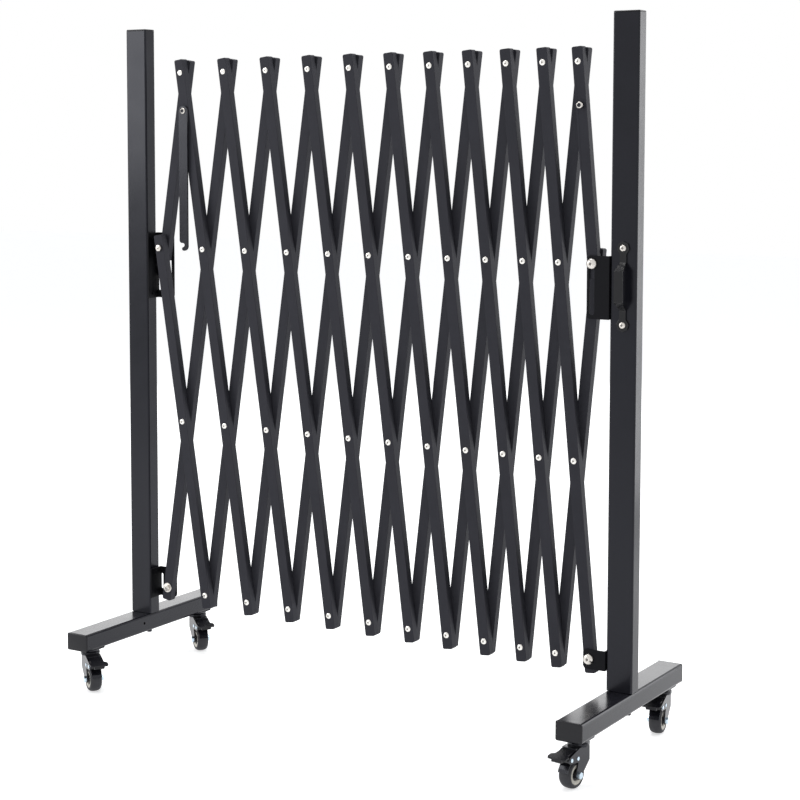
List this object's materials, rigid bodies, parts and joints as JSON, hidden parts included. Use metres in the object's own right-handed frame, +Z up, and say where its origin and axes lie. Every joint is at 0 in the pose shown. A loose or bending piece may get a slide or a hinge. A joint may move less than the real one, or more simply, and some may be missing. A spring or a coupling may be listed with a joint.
{
  "type": "portable expanding barrier",
  "caption": "Freestanding expanding barrier: a riveted scissor lattice between posts on castered feet, with slotted brackets, a hook and a pull handle.",
  "frame": {"origin": "centre of the underside of the barrier's box, on the floor between the stands", "axes": "+X along the lattice from the left stand to the right stand, +Y away from the side with the hook and handle, +Z up"},
  "size_m": [1.1304, 0.473, 1.3255],
  "materials": {
    "stand_coat": "semi-gloss black powder coat on steel tube",
    "lattice_coat": "semi-gloss black powder coat on flat tube",
    "black_bracket": "dark textured powder coat on folded sheet",
    "black_plastic": "moulded black plastic, satin",
    "zinc": "bright zinc plate",
    "caster_steel": "glossy black coated steel",
    "wheel_tyre": "dark grey rubber tread on a cream rim"
  },
  "bodies": {
    "left_stand": {"left_post": "stand_coat", "left_post_cap": "black_plastic", "left_foot": "stand_coat", "left_foot_front_cap": "black_plastic", "left_foot_back_cap": "black_plastic", "left_upper_bracket": "black_bracket", "left_lower_bracket": "black_bracket", "left_lower_bolt": "zinc", "left_front_caster_mount": "caster_steel", "left_back_caster_mount": "caster_steel"},
    "right_stand": {"right_post": "stand_coat", "right_post_cap": "black_plastic", "right_foot": "stand_coat", "right_foot_front_cap": "black_plastic", "right_foot_back_cap": "black_plastic", "right_upper_bracket": "black_bracket", "right_lower_bracket": "black_bracket", "right_lower_bolt": "zinc", "right_front_caster_mount": "caster_steel", "right_back_caster_mount": "caster_steel", "pull_handle": "black_plastic"},
    "front_bar_01": {"front_bar_01": "lattice_coat", "left_upper_bolt": "zinc"},
    "front_bar_02": {"front_bar_02": "lattice_coat"},
    "front_bar_03": {"front_bar_03": "lattice_coat"},
    "front_bar_04": {"front_bar_04": "lattice_coat"},
    "front_bar_05": {"front_bar_05": "lattice_coat"},
    "front_bar_06": {"front_bar_06": "lattice_coat"},
    "front_bar_07": {"front_bar_07": "lattice_coat"},
    "front_bar_08": {"front_bar_08": "lattice_coat"},
    "front_bar_09": {"front_bar_09": "lattice_coat"},
    "front_bar_10": {"front_bar_10": "lattice_coat"},
    "front_bar_11": {"front_bar_11": "lattice_coat"},
    "front_bar_12": {"front_bar_12": "lattice_coat"},
    "back_bar_01": {"back_bar_01": "lattice_coat"},
    "back_bar_02": {"back_bar_02": "lattice_coat"},
    "back_bar_03": {"back_bar_03": "lattice_coat"},
    "back_bar_04": {"back_bar_04": "lattice_coat"},
    "back_bar_05": {"back_bar_05": "lattice_coat"},
    "back_bar_06": {"back_bar_06": "lattice_coat"},
    "back_bar_07": {"back_bar_07": "lattice_coat"},
    "back_bar_08": {"back_bar_08": "lattice_coat"},
    "back_bar_09": {"back_bar_09": "lattice_coat"},
    "back_bar_10": {"back_bar_10": "lattice_coat"},
    "back_bar_11": {"back_bar_11": "lattice_coat"},
    "back_bar_12": {"back_bar_12": "lattice_coat", "right_upper_bolt": "zinc"},
    "hook": {"hook": "stand_coat"},
    "left_front_caster_fork": {"left_front_caster_fork": "caster_steel"},
    "left_front_caster_wheel": {"left_front_caster_wheel": "wheel_tyre"},
    "left_front_caster_pedal": {"left_front_caster_pedal": "black_plastic"},
    "left_back_caster_fork": {"left_back_caster_fork": "caster_steel"},
    "left_back_caster_wheel": {"left_back_caster_wheel": "wheel_tyre"},
    "left_back_caster_pedal": {"left_back_caster_pedal": "black_plastic"},
    "right_front_caster_fork": {"right_front_caster_fork": "caster_steel"},
    "right_front_caster_wheel": {"right_front_caster_wheel": "wheel_tyre"},
    "right_front_caster_pedal": {"right_front_caster_pedal": "black_plastic"},
    "right_back_caster_fork": {"right_back_caster_fork": "caster_steel"},
    "right_back_caster_wheel": {"right_back_caster_wheel": "wheel_tyre"},
    "right_back_caster_pedal": {"right_back_caster_pedal": "black_plastic"}
  },
  "joints": [
    {"name": "fold", "type": "hinge", "parent": "left_stand", "child": "back_bar_02", "pos_m": [-0.4822, 0.01503, 0.1765], "axis": [0, 1, 0], "range_deg": [-2.7, 20.38]},
    {"name": "front_bar_03_turn", "type": "hinge", "parent": "back_bar_02", "child": "front_bar_03", "pos_m": [-0.32173, 0.01503, 1.23609], "axis": [0, 1, 0], "range_deg": [-41.31, 5.52]},
    {"name": "back_bar_05_turn", "type": "hinge", "parent": "front_bar_03", "child": "back_bar_05", "pos_m": [-0.17044, 0.01503, 0.17519], "axis": [0, 1, 0], "range_deg": [-5.65, 42.3]},
    {"name": "front_bar_06_turn", "type": "hinge", "parent": "back_bar_05", "child": "front_bar_06", "pos_m": [-0.02833, 0.01503, 1.23731], "axis": [0, 1, 0], "range_deg": [-43.29, 5.78]},
    {"name": "back_bar_08_turn", "type": "hinge", "parent": "front_bar_06", "child": "back_bar_08", "pos_m": [0.1046, 0.01503, 0.17404], "axis": [0, 1, 0], "range_deg": [-5.91, 44.28]},
    {"name": "front_bar_09_turn", "type": "hinge", "parent": "back_bar_08", "child": "front_bar_09", "pos_m": [0.22835, 0.01503, 1.23838], "axis": [0, 1, 0], "range_deg": [-45.27, 6.04]},
    {"name": "back_bar_11_turn", "type": "hinge", "parent": "front_bar_09", "child": "back_bar_11", "pos_m": [0.34292, 0.01503, 0.17305], "axis": [0, 1, 0], "range_deg": [-6.17, 46.26]},
    {"name": "front_bar_11_turn", "type": "hinge", "parent": "back_bar_11", "child": "front_bar_11", "pos_m": [0.41318, 0.01503, 0.88364], "axis": [0, 1, 0], "range_deg": [-46.91, 6.26]},
    {"name": "front_bar_01_turn", "type": "hinge", "parent": "back_bar_02", "child": "front_bar_01", "pos_m": [-0.42871, 0.01503, 0.52955], "axis": [0, 1, 0], "range_deg": [-40.64, 5.43]},
    {"name": "front_bar_02_turn", "type": "hinge", "parent": "back_bar_02", "child": "front_bar_02", "pos_m": [-0.37522, 0.01503, 0.88252], "axis": [0, 1, 0], "range_deg": [-40.98, 5.47]},
    {"name": "front_bar_04_turn", "type": "hinge", "parent": "back_bar_05", "child": "front_bar_04", "pos_m": [-0.12307, 0.01503, 0.5291], "axis": [0, 1, 0], "range_deg": [-42.63, 5.69]},
    {"name": "front_bar_05_turn", "type": "hinge", "parent": "back_bar_05", "child": "front_bar_05", "pos_m": [-0.0757, 0.01503, 0.88294], "axis": [0, 1, 0], "range_deg": [-42.96, 5.74]},
    {"name": "front_bar_07_turn", "type": "hinge", "parent": "back_bar_08", "child": "front_bar_07", "pos_m": [0.14585, 0.01503, 0.52871], "axis": [0, 1, 0], "range_deg": [-44.61, 5.95]},
    {"name": "front_bar_08_turn", "type": "hinge", "parent": "back_bar_08", "child": "front_bar_08", "pos_m": [0.1871, 0.01503, 0.88332], "axis": [0, 1, 0], "range_deg": [-44.94, 6]},
    {"name": "front_bar_10_turn", "type": "hinge", "parent": "back_bar_11", "child": "front_bar_10", "pos_m": [0.37805, 0.01503, 0.52837], "axis": [0, 1, 0], "range_deg": [-46.59, 6.21]},
    {"name": "front_bar_12_turn", "type": "hinge", "parent": "back_bar_11", "child": "front_bar_12", "pos_m": [0.44831, 0.01503, 1.23929], "axis": [0, 1, 0], "range_deg": [-47.24, 6.3]},
    {"name": "back_bar_01_turn", "type": "hinge", "parent": "front_bar_01", "child": "back_bar_01", "pos_m": [-0.48322, 0.01503, 0.88228], "axis": [0, 1, 0], "range_deg": [-5.38, 40.31]},
    {"name": "back_bar_03_turn", "type": "hinge", "parent": "front_bar_02", "child": "back_bar_03", "pos_m": [-0.32275, 0.01503, 0.52932], "axis": [0, 1, 0], "range_deg": [-5.52, 41.31]},
    {"name": "back_bar_04_turn", "type": "hinge", "parent": "front_bar_03", "child": "back_bar_04", "pos_m": [-0.22087, 0.01503, 0.52917], "axis": [0, 1, 0], "range_deg": [-5.6, 41.97]},
    {"name": "back_bar_06_turn", "type": "hinge", "parent": "front_bar_05", "child": "back_bar_06", "pos_m": [-0.02935, 0.01503, 0.5289], "axis": [0, 1, 0], "range_deg": [-5.78, 43.29]},
    {"name": "back_bar_07_turn", "type": "hinge", "parent": "front_bar_06", "child": "back_bar_07", "pos_m": [0.06029, 0.01503, 0.52877], "axis": [0, 1, 0], "range_deg": [-5.87, 43.95]},
    {"name": "back_bar_09_turn", "type": "hinge", "parent": "front_bar_08", "child": "back_bar_09", "pos_m": [0.22733, 0.01503, 0.52853], "axis": [0, 1, 0], "range_deg": [-6.04, 45.27]},
    {"name": "back_bar_10_turn", "type": "hinge", "parent": "front_bar_09", "child": "back_bar_10", "pos_m": [0.30473, 0.01503, 0.52843], "axis": [0, 1, 0], "range_deg": [-6.13, 45.93]},
    {"name": "back_bar_12_turn", "type": "hinge", "parent": "front_bar_11", "child": "back_bar_12", "pos_m": [0.44729, 0.01503, 0.52822], "axis": [0, 1, 0], "range_deg": [-6.3, 47.24]},
    {"name": "right_stand_turn", "type": "hinge", "parent": "front_bar_11", "child": "right_stand", "pos_m": [0.4814, 0.01503, 0.1729], "axis": [0, 1, 0], "range_deg": [-3.17, 23.56]},
    {"name": "hook_swing", "type": "hinge", "parent": "front_bar_02", "child": "hook", "pos_m": [-0.41637, 0.01503, 1.15948], "axis": [0, -1, 0], "range_deg": [-2, 100]},
    {"name": "left_front_caster_swivel", "type": "hinge", "parent": "left_stand", "child": "left_front_caster_fork", "pos_m": [-0.5402, -0.16497, 0], "axis": [0, 0, 1], "continuous": true},
    {"name": "left_front_caster_roll", "type": "hinge", "parent": "left_front_caster_fork", "child": "left_front_caster_wheel", "pos_m": [-0.52289, -0.17686, 0.025], "axis": [0.5664, 0.8241, 0], "continuous": true},
    {"name": "left_front_caster_brake", "type": "hinge", "parent": "left_front_caster_fork", "child": "left_front_caster_pedal", "pos_m": [-0.50435, -0.1896, 0.056], "axis": [0.5664, 0.8241, 0], "range_deg": [0, 12]},
    {"name": "left_back_caster_swivel", "type": "hinge", "parent": "left_stand", "child": "left_back_caster_fork", "pos_m": [-0.5402, 0.19503, 0], "axis": [0, 0, 1], "continuous": true},
    {"name": "left_back_caster_roll", "type": "hinge", "parent": "left_back_caster_fork", "child": "left_back_caster_wheel", "pos_m": [-0.52332, 0.18254, 0.025], "axis": [0.5948, 0.8039, 0], "continuous": true},
    {"name": "left_back_caster_brake", "type": "hinge", "parent": "left_back_caster_fork", "child": "left_back_caster_pedal", "pos_m": [-0.50523, 0.16916, 0.056], "axis": [0.5948, 0.8039, 0], "range_deg": [0, 12]},
    {"name": "right_front_caster_swivel", "type": "hinge", "parent": "right_stand", "child": "right_front_caster_fork", "pos_m": [0.5394, -0.16497, 0], "axis": [0, 0, 1], "continuous": true},
    {"name": "right_front_caster_roll", "type": "hinge", "parent": "right_front_caster_fork", "child": "right_front_caster_wheel", "pos_m": [0.5363, -0.18574, 0.025], "axis": [0.989, -0.1478, 0], "continuous": true},
    {"name": "right_front_caster_brake", "type": "hinge", "parent": "right_front_caster_fork", "child": "right_front_caster_pedal", "pos_m": [0.53297, -0.20799, 0.056], "axis": [0.989, -0.1478, 0], "range_deg": [0, 12]},
    {"name": "right_back_caster_swivel", "type": "hinge", "parent": "right_stand", "child": "right_back_caster_fork", "pos_m": [0.5394, 0.19503, 0], "axis": [0, 0, 1], "continuous": true},
    {"name": "right_back_caster_roll", "type": "hinge", "parent": "right_back_caster_fork", "child": "right_back_caster_wheel", "pos_m": [0.54178, 0.17417, 0.025], "axis": [0.9936, 0.1132, 0], "continuous": true},
    {"name": "right_back_caster_brake", "type": "hinge", "parent": "right_back_caster_fork", "child": "right_back_caster_pedal", "pos_m": [0.54433, 0.15181, 0.056], "axis": [0.9936, 0.1132, 0], "range_deg": [0, 12]}
  ],
  "couplings": [
    {"joint": "front_bar_03_turn", "follows": "fold", "ratio": -2.0244},
    {"joint": "back_bar_05_turn", "follows": "fold", "ratio": 2.073},
    {"joint": "front_bar_06_turn", "follows": "fold", "ratio": -2.1216},
    {"joint": "back_bar_08_turn", "follows": "fold", "ratio": 2.1702},
    {"joint": "front_bar_09_turn", "follows": "fold", "ratio": -2.2187},
    {"joint": "back_bar_11_turn", "follows": "fold", "ratio": 2.2672},
    {"joint": "front_bar_11_turn", "follows": "fold", "ratio": -2.2995},
    {"joint": "front_bar_01_turn", "follows": "fold", "ratio": -1.9919},
    {"joint": "front_bar_02_turn", "follows": "fold", "ratio": -2.0081},
    {"joint": "front_bar_04_turn", "follows": "fold", "ratio": -2.0892},
    {"joint": "front_bar_05_turn", "follows": "fold", "ratio": -2.1055},
    {"joint": "front_bar_07_turn", "follows": "fold", "ratio": -2.1864},
    {"joint": "front_bar_08_turn", "follows": "fold", "ratio": -2.2026},
    {"joint": "front_bar_10_turn", "follows": "fold", "ratio": -2.2833},
    {"joint": "front_bar_12_turn", "follows": "fold", "ratio": -2.3156},
    {"joint": "back_bar_01_turn", "follows": "fold", "ratio": 1.9756},
    {"joint": "back_bar_03_turn", "follows": "fold", "ratio": 2.0244},
    {"joint": "back_bar_04_turn", "follows": "fold", "ratio": 2.0568},
    {"joint": "back_bar_06_turn", "follows": "fold", "ratio": 2.1217},
    {"joint": "back_bar_07_turn", "follows": "fold", "ratio": 2.154},
    {"joint": "back_bar_09_turn", "follows": "fold", "ratio": 2.2187},
    {"joint": "back_bar_10_turn", "follows": "fold", "ratio": 2.251},
    {"joint": "back_bar_12_turn", "follows": "fold", "ratio": 2.3156},
    {"joint": "right_stand_turn", "follows": "fold", "ratio": 1.1538}
  ]
}
